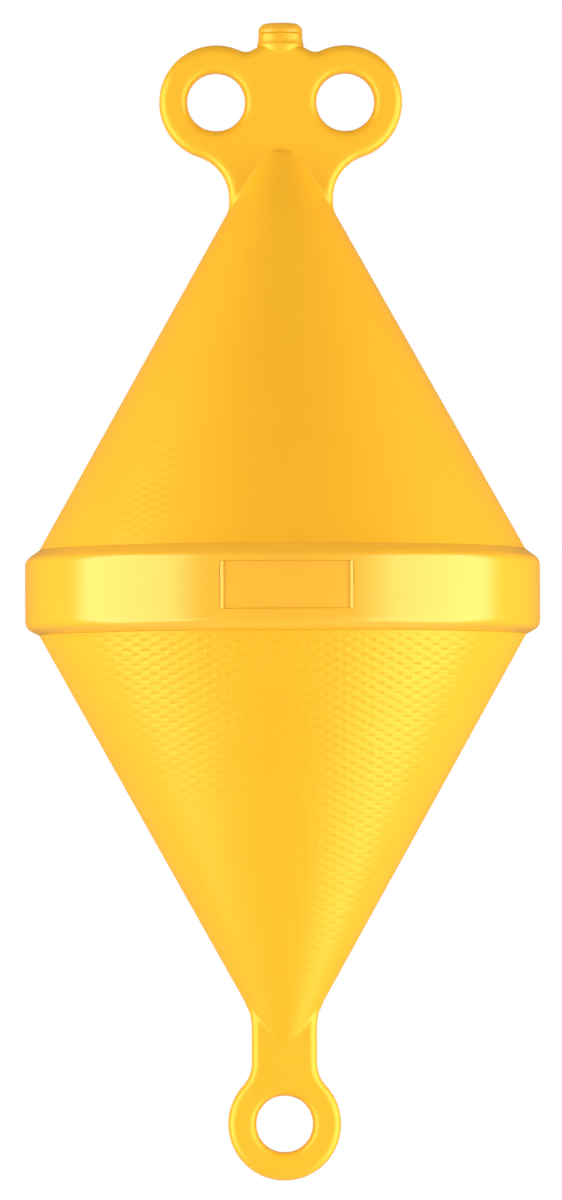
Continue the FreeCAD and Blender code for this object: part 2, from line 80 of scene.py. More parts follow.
def operation(kind: str, swapped: bool = False) -> Callable[..., "Signal"]:
    """Make a method of Signal that adds a Math node.

    Args:
        kind: Blender's name for the operation.
        swapped: Whether the signal is the second of the two values.

    Returns:
        The method. It takes the other value, if there is one.
    """
    def method(self: "Signal", *others: "Signal | float") -> "Signal":
        """Work the operation out on this signal and the other value."""
        values = (*others, self) if swapped else (self, *others)
        return self.sheet.maths(kind, *values)

    return method


class Signal:
    """A number carried by a node socket, used in ordinary arithmetic."""

    def __init__(self, sheet: "NodeSheet", socket: Socket) -> None:
        """Wrap one output socket of a node in the sheet's tree."""
        self.sheet = sheet
        self.socket = socket

    __add__ = operation("ADD")
    __radd__ = operation("ADD", swapped=True)
    __sub__ = operation("SUBTRACT")
    __rsub__ = operation("SUBTRACT", swapped=True)
    __mul__ = operation("MULTIPLY")
    __rmul__ = operation("MULTIPLY", swapped=True)
    __truediv__ = operation("DIVIDE")
    __rtruediv__ = operation("DIVIDE", swapped=True)
    __abs__ = operation("ABSOLUTE")
    cos = operation("COSINE")
    root = operation("SQRT")
    at_least = operation("MAXIMUM")

    def ramp(self, start: float, end: float) -> "Signal":
        """Smooth climb from 0 to 1, or a fall where end is below start.

        Args:
            start: Value at which the result is 0.
            end: Value at which the result is 1.

        Returns:
            A signal between 0 and 1.
        """
        node = self.sheet.node(
            "ShaderNodeMapRange", {"interpolation_type": "SMOOTHSTEP"},
            {"Value": self, "From Min": start, "From Max": end, "To Min": 0.0, "To Max": 1.0})
        return Signal(self.sheet, node.outputs["Result"])


class NodeSheet:
    """A node tree, and the one way in which nodes are added to it."""

    NOISE_ROUGHNESS = 0.55

    def __init__(self, tree: bpy.types.NodeTree) -> None:
        """Empty the tree and keep it."""
        self.tree = tree
        tree.nodes.clear()

    @classmethod
    def of(cls, owner: Material | bpy.types.World) -> "NodeSheet":
        """Sheet of a material's or the world's own tree."""
        owner.use_nodes = True
        return cls(owner.node_tree)

    def node(self, kind: str, settings: dict | None = None,
             inputs: dict | None = None) -> bpy.types.Node:
        """Add a node.

        Args:
            kind: Blender's name for the node type.
            settings: Properties to set first, such as a Math node's operation.
            inputs: Values, signals or sockets for its inputs, by name or number.

        Returns:
            The new node.
        """
        node = self.tree.nodes.new(kind)
        for name, value in (settings or {}).items():
            setattr(node, name, value)
        for key, value in (inputs or {}).items():
            if isinstance(value, Signal):
                self.tree.links.new(value.socket, node.inputs[key])
            elif isinstance(value, Socket):
                self.tree.links.new(value, node.inputs[key])
            else:
                node.inputs[key].default_value = value
        return node

    def maths(self, kind: str, *values: Signal | float) -> Signal:
        """Add a Math node for one operation on signals and numbers."""
        node = self.node("ShaderNodeMath", {"operation": kind}, dict(enumerate(values)))
        return Signal(self, node.outputs[0])

    def axes(self, vector: Socket) -> tuple[Signal, Signal, Signal]:
        """Split a vector socket into its three numbers."""
        node = self.node("ShaderNodeSeparateXYZ", inputs={0: vector})
        return tuple(Signal(self, node.outputs[index]) for index in range(3))

    def noise(self, vector: Socket, scale: float, detail: float = 2.0) -> Signal:
        """Cloudy noise about 0.5.

        Args:
            vector: Coordinates, in metres.
            scale: Features per metre.
            detail: How many finer layers are added.

        Returns:
            The noise as a signal.
        """
        node = self.node("ShaderNodeTexNoise", {"noise_dimensions": "3D"},
                         {"Vector": vector, "Scale": scale, "Detail": detail,
                          "Roughness": self.NOISE_ROUGHNESS})
        return Signal(self, node.outputs["Fac"])

    def attribute(self, name: str) -> Signal:
        """Value that the mesh carries under a name."""
        node = self.node("ShaderNodeAttribute", {"attribute_name": name})
        return Signal(self, node.outputs["Fac"])

    def blend(self, share: Signal, first: Colour | Socket,
              second: Colour) -> Socket:
        """Mix a colour, or a colour socket, with a second colour by a signal.

        Args:
            share: Share of the second colour.
            first: First colour.
            second: Second colour.

        Returns:
            Socket with the mixed colour.
        """
        start = first if isinstance(first, Socket) else (*first, 1.0)
        node = self.node("ShaderNodeMix", {"data_type": "RGBA"},
                         {0: share, 6: start, 7: (*second, 1.0)})
        return node.outputs[2]


# -------- modelling bench

class Bench:
    """Everyday operations for shaping a mesh piece."""

    @staticmethod
    def clear() -> None:
        """Leave edit mode and deselect everything."""
        if bpy.context.object is not None and bpy.context.object.mode != "OBJECT":
            bpy.ops.object.mode_set(mode="OBJECT")
        bpy.ops.object.select_all(action="DESELECT")

    @staticmethod
    def hold(piece: Piece) -> None:
        """Select one piece alone and make it active."""
        Bench.clear()
        piece.select_set(True)
        bpy.context.view_layer.objects.active = piece

    @staticmethod
    @contextmanager
    def editing(piece: Piece, mode: str = "VERT") -> Iterator[None]:
        """Open a piece for editing, with nothing selected, and close it again.

        Args:
            piece: The piece.
            mode: VERT, EDGE or FACE.

        Yields:
            Nothing, while the piece is open.
        """
        Bench.hold(piece)
        bpy.ops.object.mode_set(mode="EDIT")
        bpy.ops.mesh.select_mode(type=mode)
        bpy.ops.mesh.select_all(action="DESELECT")
        yield
        bpy.ops.object.mode_set(mode="OBJECT")

    @staticmethod
    def pick(piece: Piece, kind: str, wanted: Callable[[object], bool]) -> int:
        """Select the elements of the edited mesh that a test accepts.

        Args:
            piece: The piece in edit mode.
            kind: verts, edges or faces.
            wanted: Test on one element of the edit mesh.

        Returns:
            How many elements are selected.
        """
        mesh = bmesh.from_edit_mesh(piece.data)
        count = 0
        for element in getattr(mesh, kind):
            chosen = bool(wanted(element))
            element.select_set(chosen)
            count += chosen
        mesh.select_flush_mode()
        bmesh.update_edit_mesh(piece.data)
        return count

    @staticmethod
    def shrink(share: float, level: float = 0.0) -> None:
        """Draw what is selected in towards the axis, at its own level."""
        bpy.ops.transform.resize(value=(share, share, 1.0), center_override=(0.0, 0.0, level))

    @staticmethod
    def lift(height: float) -> None:
        """Extrude the selected faces along their normals."""
        bpy.ops.mesh.extrude_region_shrink_fatten(
            TRANSFORM_OT_shrink_fatten={"value": height})

    @staticmethod
    def slice_upright(piece: Piece, angle: float,
                      wanted: Callable[[Face], bool]) -> None:
        """Cut the wanted faces along two upright planes through the axis.

        Args:
            piece: The piece to cut.
            angle: Angle of both planes from the front, in radians.
            wanted: Test on a face.
        """
        for side in (-1.0, 1.0):
            with Bench.editing(piece, "FACE"):
                Bench.pick(piece, "faces", wanted)
                bpy.ops.mesh.bisect(plane_co=(0.0, 0.0, 0.0),
                                    plane_no=(math.cos(angle), side * math.sin(angle), 0.0))

    @staticmethod
    def apply_modifier(piece: Piece, kind: str, **settings: object) -> None:
        """Add a modifier, set it and apply it.

        Args:
            piece: The piece.
            kind: Blender's name for the modifier.
            **settings: Its properties.
        """
        Bench.hold(piece)
        modifier = piece.modifiers.new(kind.title(), kind)
        for name, value in settings.items():
            setattr(modifier, name, value)
        bpy.ops.object.modifier_apply(modifier=modifier.name)

    @staticmethod
    def settle(piece: Piece, name: str) -> Piece:
        """Name a piece and put its place into its mesh.

        Args:
            piece: The piece.
            name: Name for the object and its mesh.

        Returns:
            The same piece.
        """
        Bench.hold(piece)
        bpy.ops.object.transform_apply(location=True, rotation=True, scale=True)
        piece.name = name
        piece.data.name = name
        return piece

    @staticmethod
    def face_outwards(piece: Piece) -> None:
        """Merge doubles and point every face outwards."""
        with Bench.editing(piece):
            bpy.ops.mesh.select_all(action="SELECT")
            bpy.ops.mesh.remove_doubles(threshold=1e-6)
            bpy.ops.mesh.normals_make_consistent(inside=False)

    @staticmethod
    def upright_cone(name: str, up: bool, ends: tuple[Point, Point],
                     segments: int) -> Piece:
        """Solid cone on the Z axis.

        Args:
            name: Name of the piece.
            up: Whether its narrow end is on top.
            ends: Radius and level of its wide end and of its narrow end.
            segments: Number of faces round the axis.

        Returns:
            The cone, with its place in its mesh.
        """
        (wide, start), (narrow, end) = ends
        Bench.clear()
        bpy.ops.mesh.primitive_cone_add(
            vertices=segments, end_fill_type="NGON", radius1=wide if up else narrow,
            radius2=narrow if up else wide, depth=abs(end - start),
            location=(0.0, 0.0, (start + end) / 2))
        return Bench.settle(bpy.context.active_object, name)

    @staticmethod
    def turn(name: str, profile: Sequence[Point], segments: int) -> Piece:
        """Turn a profile round the Z axis, ring by ring.

        Args:
            name: Name of the piece.
            profile: Radius and level of each ring, from one end to the other.
                A radius of 0 closes that end at a pole.
            segments: Number of faces round the axis.

        Returns:
            The turned piece, with its place in its mesh.
        """
        Bench.clear()
        closed_start = profile[0][0] == 0.0
        rings = profile[1:] if closed_start else profile
        radius, level = rings[0]
        bpy.ops.mesh.primitive_circle_add(vertices=segments, radius=radius,
                                          location=(0.0, 0.0, level), fill_type="NOTHING")
        piece = Bench.settle(bpy.context.active_object, name)
        with Bench.editing(piece):
            bpy.ops.mesh.select_all(action="SELECT")
            if closed_start:
                Bench.pull(profile[0][1] - level)
                bpy.ops.mesh.merge(type="CENTER")
                Bench.pick(piece, "verts", lambda vert: vert.co.xy.length > SAME_PLACE)
            for next_radius, next_level in rings[1:]:
                Bench.pull(next_level - level)
                if next_radius == 0.0:
                    bpy.ops.mesh.merge(type="CENTER")
                    break
                Bench.shrink(next_radius / radius, next_level)
                radius, level = next_radius, next_level
        Bench.face_outwards(piece)
        return piece

    @staticmethod
    def pull(height: float) -> None:
        """Extrude the selected ring of edges along Z."""
        bpy.ops.mesh.extrude_edges_move(TRANSFORM_OT_translate={"value": (0.0, 0.0, height)})

    @staticmethod
    def round_corner(before: Point, corner: Point, after: Point, radius: float,
                     steps: int) -> list[Point]:
        """Points of an arc that rounds a corner between two straight runs.

        Args:
            before: A point on the run that arrives at the corner.
            corner: The sharp corner.
            after: A point on the run that leaves the corner.
            radius: Radius of the arc.
            steps: Number of straight pieces in the arc.

        Returns:
            The arc's points, from the first run to the second.
        """
        into = (Vector(before) - Vector(corner)).normalized()
        out = (Vector(after) - Vector(corner)).normalized()
        half = into.angle(out) / 2
        middle = (into + out).normalized() * (radius / math.sin(half))
        setback = radius / math.tan(half)
        centre = Vector(corner) + middle
        start = Vector(corner) + into * setback - centre
        end = Vector(corner) + out * setback - centre
        sweep = start.angle_signed(end)
        return [tuple(centre + Matrix.Rotation(-sweep * step / steps, 2) @ start)
                for step in range(steps + 1)]

    @staticmethod
    def from_front(place: Vector) -> float:
        """Angle round the axis between a place and the front, in radians."""
        return math.atan2(abs(place.x), -place.y)


# -------- finishes

@dataclass(frozen=True)
class MouldedPlastic:
    """Pigmented polyethylene as it comes out of a mould.

    Attributes:
        name: Name of the material.
        colour: Main colour.
        deep: Colour in cloudy patches, a little more orange; the lattice's hollows are also
            tinted towards it as painted shade.
        roughness: Mean roughness.
        roughness_spread: How far the roughness wanders from its mean.
        grain: Height of the fine grain.
        wave: Height of the slow waviness.
        gloss: Strength of the surface's shine.
        gloss_tint: Colour of the shine.
        parting: Whether the line where the mould's halves met shows.
        latticed: Whether the piece carries the lattice, with painted shade in its hollows.
    """

    CLOUDS = (14.0, 3.0)
    SMEARS = (60.0, 4.0)
    SPECKS = (900.0, 2.0)
    CLOUD_SHARE = 0.8
    SPECK_SHARE = 0.25
    DEEP_SHARE = 0.35
    HOLLOW_SHADE_SHARE = 0.15
    LINE_FOOT = 0.55 * MM
    LINE_TOP = 0.1 * MM
    LINE_HEIGHT = 0.12 * MM

    name: str
    colour: Colour
    deep: Colour
    roughness: float
    roughness_spread: float
    grain: float
    wave: float
    gloss: float
    gloss_tint: Colour
    parting: bool = True
    latticed: bool = False

    def build(self) -> Material:
        """Make the material.

        Returns:
            The finished material.
        """
        material = bpy.data.materials.new(self.name)
        sheet = NodeSheet.of(material)
        place = sheet.node("ShaderNodeTexCoord").outputs["Object"]
        along, across, _ = sheet.axes(place)
        clouds = sheet.noise(place, *self.CLOUDS) - 0.5
        specks = sheet.noise(place, *self.SPECKS) - 0.5
        smears = sheet.noise(place, *self.SMEARS) - 0.5
        share = clouds * self.CLOUD_SHARE + specks * self.SPECK_SHARE + self.DEEP_SHARE
        colour = sheet.blend(share, self.colour, self.deep)
        roughness = smears * (2.0 * self.roughness_spread) + self.roughness
        height = specks * self.grain + clouds * self.wave
        if self.latticed:
            crest = LatticeCone.weave(along, sheet.attribute(LatticeCone.ROWS))
            hollow = 0.5 - crest * 0.5
            # Painted shade: the lattice's hollows are tinted towards the deeper colour, as shade
            # would darken them.
            colour = sheet.blend(hollow * self.HOLLOW_SHADE_SHARE, colour, self.deep)
            dent = hollow * hollow
            height = height - dent * dent * sheet.attribute(LatticeCone.DEPTH)
        if self.parting:
            line = abs(across).ramp(self.LINE_FOOT, self.LINE_TOP)
            height = height + line * self.LINE_HEIGHT
        bump = sheet.node("ShaderNodeBump", inputs={"Height": height, "Distance": 1.0,
                                                    "Strength": 1.0})
        shader = sheet.node("ShaderNodeBsdfPrincipled",
                            inputs={"Base Color": colour, "Roughness": roughness,
                                    "Normal": bump.outputs["Normal"], "IOR": 1.5,
                                    "Specular IOR Level": self.gloss,
                                    "Specular Tint": (*self.gloss_tint, 1.0)})
        sheet.node("ShaderNodeOutputMaterial", inputs={"Surface": shader.outputs["BSDF"]})
        return material


@dataclass(frozen=True)
class PaleFloor:
    """Matt pale floor that keeps a soft shadow and is white farther off.

    Attributes:
        name: Name of the material.
        colour: Colour of the matt floor.
        patch_scale: Slightly darker patches per metre.
        patch_shade: How bright they are beside the floor.
        near_glow: Share of plain white mixed in under the buoy.
        near: Distance from the axis at which the white starts to take over.
        far: Distance from the axis beyond which the floor is plain white.
    """

    name: str = "pale_floor"
    colour: Colour = (0.6, 0.6, 0.6)
    patch_scale: float = 3.0
    patch_shade: float = 0.97
    near_glow: float = 0.65
    near: float = 1.0
    far: float = 3.5

    def build(self) -> Material:
        """Make the material.

        Returns:
            The floor's material.
        """
        material = bpy.data.materials.new(self.name)
        sheet = NodeSheet.of(material)
        seen = Studio.seen_directly(sheet)
        place = sheet.node("ShaderNodeTexCoord").outputs["Object"]
        darker = tuple(self.patch_shade * part for part in self.colour)
        shade = sheet.blend(sheet.noise(place, self.patch_scale), self.colour, darker)
        matt = sheet.node("ShaderNodeBsdfDiffuse", inputs={"Color": shade})
        glow = sheet.node("ShaderNodeEmission", inputs={"Color": WHITE, "Strength": 1.0})
        along, across, _ = sheet.axes(place)
        reach = (along * along + across * across).root()
        share = reach.ramp(self.near, self.far) * (1.0 - self.near_glow) + self.near_glow
        mixed = sheet.node("ShaderNodeMixShader",
                           inputs={0: seen * share, 1: matt.outputs[0], 2: glow.outputs[0]})
        sheet.node("ShaderNodeOutputMaterial", inputs={"Surface": mixed.outputs[0]})
        return material


# -------- pieces

class Half(Enum):
    """Which half of the buoy a cone or lug belongs to."""

    UPPER = 1
    LOWER = -1


@dataclass(kw_only=True)
class Maker:
    """What every visible piece has in common.

    Attributes:
        node: Engineering node that the piece replaces.
        slot: Name of its finish.
        body: Body that it rides on.
        sharp: Angle in degrees beyond which its edges stay sharp.
    """

    node: str
    slot: str
    body: str = "buoy"
    sharp: float = 60.0

    def model(self) -> Piece:
        """Model the bare piece, with its place in its mesh.

        Returns:
            The bare piece.
        """
        raise NotImplementedError

    def build(self, finishes: dict[str, Material]) -> Piece:
        """Model the piece, dress it and hand it to its body.

        Args:
            finishes: Materials of the buoy, by slot.

        Returns:
            The finished piece.
        """
        piece = self.model()
        Bench.hold(piece)
        bpy.ops.object.shade_smooth_by_angle(angle=math.radians(self.sharp))
        piece.data.materials.clear()
        piece.data.materials.append(finishes[self.slot])
        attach(piece, self.body)
        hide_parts(self.node)
        return piece


@dataclass(kw_only=True)
class LatticeCone(Maker):
    """Hollow cone whose outside carries a raised staggered lattice.

    Attributes:
        half: Whether the cone points up or down.
        tip_radius: Radius of the engineering node's flat tip.
        blunt_radius: Radius at which the visible cone is cut flat.
        rim_draw: How far the rim of that cut is drawn in.
        pitch_up: Distance between lattice rows at the band.
        pitch_fall: How much each metre towards the tip adds to rows per metre.
        relief: Height of a crest above the mean surface, at the band.
        pit: How much deeper the hollows are pinched, at the band.
        reach: Distance from the band at which the lattice has faded away.
        left_reach: The same on the left.
        left_span: Places along X between which the one reach turns into the other.
        seam_fade: Distances from the band at which the lattice starts and is full.
        tip_fade: Distances from the tip at which it ends and is full.
        draft: How far the side faces Y, squared, where it starts and where it is full.
        segments: Faces round the axis.
        coarse_rows: Rows of faces from a first subdivision.
        fine_rows: Rows that each of those is subdivided into.
    """

    ROWS = "lattice_rows"
    DEPTH = "lattice_depth"
    PITCH = 11.4 * MM

    slot: str = "textured_shell"
    half: Half
    tip_radius: float = 3.0 * MM
    blunt_radius: float = 3.0 * MM
    rim_draw: float = 0.0
    pitch_up: float = 5.2 * MM
    pitch_fall: float = 0.0
    relief: float
    pit: float
    reach: float = 1000.0 * MM
    left_reach: float = 1000.0 * MM
    left_span: Span = (0.0, -50.0 * MM)
    seam_fade: Span = (1.5 * MM, 4.0 * MM)
    tip_fade: Span = (2.0 * MM, 14.0 * MM)
    draft: Span = (0.1, 0.68)
    segments: int = 380
    coarse_rows: int = 5
    fine_rows: int = 50

    def model(self) -> Piece:
        """Model the cone and raise its lattice.

        Returns:
            The bare piece.
        """
        low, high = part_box(self.node)
        up = self.half is Half.UPPER
        shown = (high.x - self.blunt_radius) / (high.x - self.tip_radius)
        length = (high.z - low.z) * shown
        seam_level = low.z if up else high.z
        tip_level = seam_level + self.half.value * length
        ends = ((high.x, seam_level), (self.blunt_radius, tip_level))
        piece = Bench.upright_cone(f"{self.node}_shell", up, ends, self.segments)
        for rows in (self.coarse_rows, self.fine_rows):
            with Bench.editing(piece, "EDGE"):
                Bench.pick(piece, "edges", lambda edge: abs(
                    edge.verts[0].co.z - edge.verts[1].co.z) > SAME_PLACE)
                bpy.ops.mesh.subdivide(number_cuts=rows - 1)
        with Bench.editing(piece, "FACE"):
            Bench.pick(piece, "faces", lambda face: len(face.verts) > 4
                       and abs(face.calc_center_median().z - seam_level) < SAME_PLACE)
            bpy.ops.mesh.delete(type="ONLY_FACE")
            Bench.pick(piece, "faces", lambda face: len(face.verts) > 4)
            bpy.ops.mesh.poke()
        if self.rim_draw:
            with Bench.editing(piece):
                Bench.pick(piece, "verts", lambda vert: abs(vert.co.z - tip_level) < SAME_PLACE)
                Bench.shrink(1.0 - self.rim_draw / self.blunt_radius)
        self.emboss(piece, seam_level, length)
        return piece

    @classmethod
    def weave(cls, across: Signal, rows: Signal) -> Signal:
        """Staggered crests and hollows, from 1 to -1, with broad backs.

        Args:
            across: Place along X.
            rows: Number of lattice rows up to this place.

        Returns:
            Height of the lattice there.
        """
        column = (across * (math.tau / cls.PITCH)).cos()
        return column * (1.5 - column * column * 0.5) * (rows * math.tau).cos()

    def emboss(self, piece: Piece, seam_level: float, length: float) -> None:
        """Raise the lattice out of the smooth cone.

        It is laid out as in a mould of two halves pulled along Y, which would
        drag it off the sides.

        Args:
            piece: The smooth cone.
            seam_level: Level of the seam with the band.
            length: Distance between the seam and the tip.
        """
        tree = bpy.data.node_groups.new(f"{self.node}_lattice", "GeometryNodeTree")
        sheet = NodeSheet(tree)
        for way in ("INPUT", "OUTPUT"):
            tree.interface.new_socket("Geometry", in_out=way, socket_type="NodeSocketGeometry")
        shape = sheet.node("NodeGroupInput").outputs[0]
        across, _, level = sheet.axes(sheet.node("GeometryNodeInputPosition").outputs[0])
        normal = sheet.node("GeometryNodeInputNormal").outputs[0]
        _, forward, upward = sheet.axes(normal)
        height = abs(level - seam_level)
        rows = height * (1.0 / self.pitch_up) + height * height * (0.5 * self.pitch_fall)
        facing = forward * forward / (1.0 - upward * upward)
        reach = across.ramp(*self.left_span) * (self.left_reach - self.reach) + self.reach
        tip_start, tip_end = (length - fade for fade in self.tip_fade)
        share = (height.ramp(*self.seam_fade) * height.ramp(tip_start, tip_end)
                 * (1.0 - height / reach).at_least(0.0) * facing.ramp(*self.draft))
        offset = sheet.node("ShaderNodeVectorMath", {"operation": "SCALE"},
                            {0: normal, "Scale": self.weave(across, rows) * share * self.relief})
        shape = sheet.node("GeometryNodeSetPosition",
                           inputs={"Geometry": shape, "Offset": offset.outputs[0]}).outputs[0]
        for name, value in ((self.ROWS, rows), (self.DEPTH, share * self.pit)):
            shape = sheet.node("GeometryNodeStoreNamedAttribute",
                               {"data_type": "FLOAT", "domain": "POINT"},
                               {"Geometry": shape, "Name": name, "Value": value}).outputs[0]
        sheet.node("NodeGroupOutput", inputs={0: shape})
        Bench.apply_modifier(piece, "NODES", node_group=tree)


@dataclass(kw_only=True)
class WaistBand(Maker):
    """Smooth band round the waist, with a pocket for the name panel.

    Attributes:
        radius: Outside radius.
        shoulder: Level where the side and the upper shoulder would meet if sharp.
        foot_shoulder: The same below.
        shoulder_round: Radius between the side and the shoulders.
        lip: How far the band reaches in under the cones' edges.
        seam_step: How far its edges stay short of the cones' edges.
        pocket_angle: Angle that the pocket takes, in degrees.
        pocket_foot: Lowest level of the pocket.
        pocket_top: Highest level of the pocket.
        pocket_depth: Depth of the pocket.
        rim_round: Width of the bevel round the pocket.
        rim_angle: Angle in degrees beyond which an edge of the pocket is its rim.
        segments: Faces round the axis.
        arc_steps: Straight pieces in the arc of a shoulder.
        rim_steps: Faces across the bevel round the pocket.
        front_share: Share of the radius beyond which a face is at the front.
    """

    node: str = "waist_band"
    slot: str = "smooth_shell"
    sharp: float = 35.0
    radius: float = 160.0 * MM
    shoulder: float = 20.2 * MM
    foot_shoulder: float = -21.8 * MM
    shoulder_round: float = 7.0 * MM
    lip: float = 2.5 * MM
    seam_step: float = 0.05 * MM
    pocket_angle: float = 29.4
    pocket_foot: float = -13.71 * MM
    pocket_top: float = 15.29 * MM
    pocket_depth: float = 1.8 * MM
    rim_round: float = 0.2 * MM
    rim_angle: float = 40.0
    segments: int = 360
    arc_steps: int = 8
    rim_steps: int = 3
    front_share: float = 0.9

    def profile(self) -> list[Point]:
        """Outline of the band.

        Returns:
            Radius and level of its points, from the lower seam to the upper seam.
        """
        low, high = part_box("upper_cone")
        top_edge = (high.x, low.z)
        low_edge = (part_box("lower_cone")[1].x, -low.z)
        top_corner = (self.radius, self.shoulder)
        low_corner = (self.radius, self.foot_shoulder)
        top_seam = low.z - self.seam_step
        shoulder = (self.shoulder_round, self.arc_steps)
        return [
            (low_edge[0] - self.lip, -top_seam),
            (low_edge[0], -top_seam),
            *Bench.round_corner(low_edge, low_corner, top_corner, *shoulder),
            *((self.radius, level) for level in (self.pocket_foot, 0.0, self.pocket_top)),
            *Bench.round_corner(low_corner, top_corner, top_edge, *shoulder),
            (top_edge[0], top_seam),
            (top_edge[0] - self.lip, top_seam),
        ]

    def model(self) -> Piece:
        """Model the band and cut its pocket.

        Returns:
            The bare piece.
        """
        piece = Bench.turn("waist_band_shell", self.profile(), self.segments)
        half = math.radians(self.pocket_angle / 2)
        front = -self.front_share * self.radius
        Bench.slice_upright(piece, half, lambda face: face.calc_center_median().y < front)
        with Bench.editing(piece, "FACE"):
            Bench.pick(piece, "faces", lambda face: self.in_pocket(face, half))
            Bench.lift(-self.pocket_depth)
        self.soften_rim(piece, half)
        return piece

    def in_pocket(self, face: Face, half: float) -> bool:
        """Whether a face of the band's side lies in the pocket.

        Args:
            face: The face.
            half: Half the pocket's angle, in radians.

        Returns:
            True for a face of the pocket.
        """
        middle = face.calc_center_median()
        return (middle.xy.length > self.radius - FACET_SLACK
                and Bench.from_front(middle) < half
                and self.pocket_foot < middle.z < self.pocket_top)

    def soften_rim(self, piece: Piece, half: float) -> None:
        """Round the pocket's rim a little.

        Args:
            piece: The band with its pocket.
            half: Half the pocket's angle, in radians.
        """
        def at_rim(vert: Vert) -> bool:
            """Whether a vertex lies on the outline of the pocket."""
            angle = Bench.from_front(vert.co)
            off_level = min(abs(vert.co.z - self.pocket_foot), abs(vert.co.z - self.pocket_top))
            return (vert.co.xy.length > self.radius - FACET_SLACK
                    and angle < half + SAME_ANGLE
                    and self.pocket_foot - SAME_PLACE < vert.co.z < self.pocket_top + SAME_PLACE
                    and (half - angle < SAME_ANGLE or off_level < SAME_PLACE))

        def on_rim(edge: Edge) -> bool:
            """Whether an edge runs along that outline and is sharp."""
            slopes = {round(face.normal.z, 1) for face in edge.link_faces}
            sharp = edge.calc_face_angle(0.0) > math.radians(self.rim_angle)
            return all(at_rim(vert) for vert in edge.verts) and (len(slopes) > 1 or sharp)

        with Bench.editing(piece, "EDGE"):
            Bench.pick(piece, "edges", on_rim)
            bpy.ops.mesh.bevel(offset=self.rim_round, segments=self.rim_steps, profile=0.5)


@dataclass(kw_only=True)
class NamePanel(Maker):
    """Bare plate in the band's pocket, with a rib at each end.

    Attributes:
        back_radius: Radius of the pocket's floor.
        face_radius: Radius of the plate's face.
        crest_radius: Radius of the ribs' crests.
        crest_fall: How much lower a rib's outer edge is than its inner edge.
        crest_steps: Steps in which a rib's crest is tilted.
        angle: Angle that the panel takes, in degrees.
        rib_angle: Angle that one rib takes, in degrees.
        foot: Lowest level.
        top: Highest level.
        edge_round: Width of the bevel along its edges.
        edge_angle: Angle in degrees beyond which an edge gets it.
        segments: Faces of the full ring that the plate is cut from.
        edge_steps: Faces across that bevel.
        outward: Cosine beyond which a face looks outwards.
    """

    node: str = "name_panel"
    slot: str = "smooth_shell"
    sharp: float = 35.0
    back_radius: float = 158.3 * MM
    face_radius: float = 159.5 * MM
    crest_radius: float = 160.5 * MM
    crest_fall: float = 0.5 * MM
    crest_steps: int = 8
    angle: float = 29.2
    rib_angle: float = 0.8
    foot: float = -13.66 * MM
    top: float = 15.24 * MM
    edge_round: float = 0.25 * MM
    edge_angle: float = 40.0
    segments: int = 720
    edge_steps: int = 3
    outward: float = 0.9

    def model(self) -> Piece:
        """Model the panel: cut the plate out of a ring, thicken it and raise the ribs.

        Returns:
            The bare piece.
        """
        Bench.clear()
        bpy.ops.mesh.primitive_cylinder_add(
            vertices=self.segments, radius=self.face_radius, depth=self.top - self.foot,
            end_fill_type="NOTHING", location=(0.0, 0.0, (self.top + self.foot) / 2))
        piece = Bench.settle(bpy.context.active_object, "name_panel_plate")
        half = math.radians(self.angle / 2)
        rib = math.radians(self.rib_angle)
        for angle in (half, half - rib):
            Bench.slice_upright(piece, angle, lambda face: face.calc_center_median().y < 0.0)
        with Bench.editing(piece, "FACE"):
            Bench.pick(piece, "faces",
                       lambda face: Bench.from_front(face.calc_center_median()) > half)
            bpy.ops.mesh.delete(type="FACE")
        with Bench.editing(piece, "FACE"):
            bpy.ops.mesh.select_all(action="SELECT")
            Bench.lift(self.back_radius - self.face_radius)
            bpy.ops.mesh.select_all(action="SELECT")
            bpy.ops.mesh.normals_make_consistent(inside=False)
            Bench.pick(piece, "faces", lambda face: self.under_rib(face, half - rib))
            Bench.lift(self.crest_radius - self.face_radius)
            for step in range(self.crest_steps):
                inner = half - rib * (1.0 - (step + 0.5) / self.crest_steps)
                Bench.pick(piece, "verts", lambda vert: self.on_crest(vert, inner))
                Bench.shrink(1.0 - self.crest_fall / self.crest_steps / self.crest_radius)
        Bench.apply_modifier(piece, "BEVEL", width=self.edge_round,
                             segments=self.edge_steps, limit_method="ANGLE",
                             angle_limit=math.radians(self.edge_angle))
        return piece

    def on_crest(self, vert: Vert, inner: float) -> bool:
        """Whether a vertex lies on a rib's crest, farther out than an angle in radians."""
        return (Bench.from_front(vert.co) > inner
                and vert.co.xy.length > self.face_radius + FACET_SLACK)

    def under_rib(self, face: Face, inner: float) -> bool:
        """Whether a face of the plate's front is covered by a rib.

        Args:
            face: The face.
            inner: Angle of the rib's inner edge from the front, in radians.

        Returns:
            True for a face under a rib.
        """
        middle = face.calc_center_median()
        outward = face.normal.dot(Vector((middle.x, middle.y, 0.0)).normalized())
        return outward > self.outward and Bench.from_front(middle) > inner


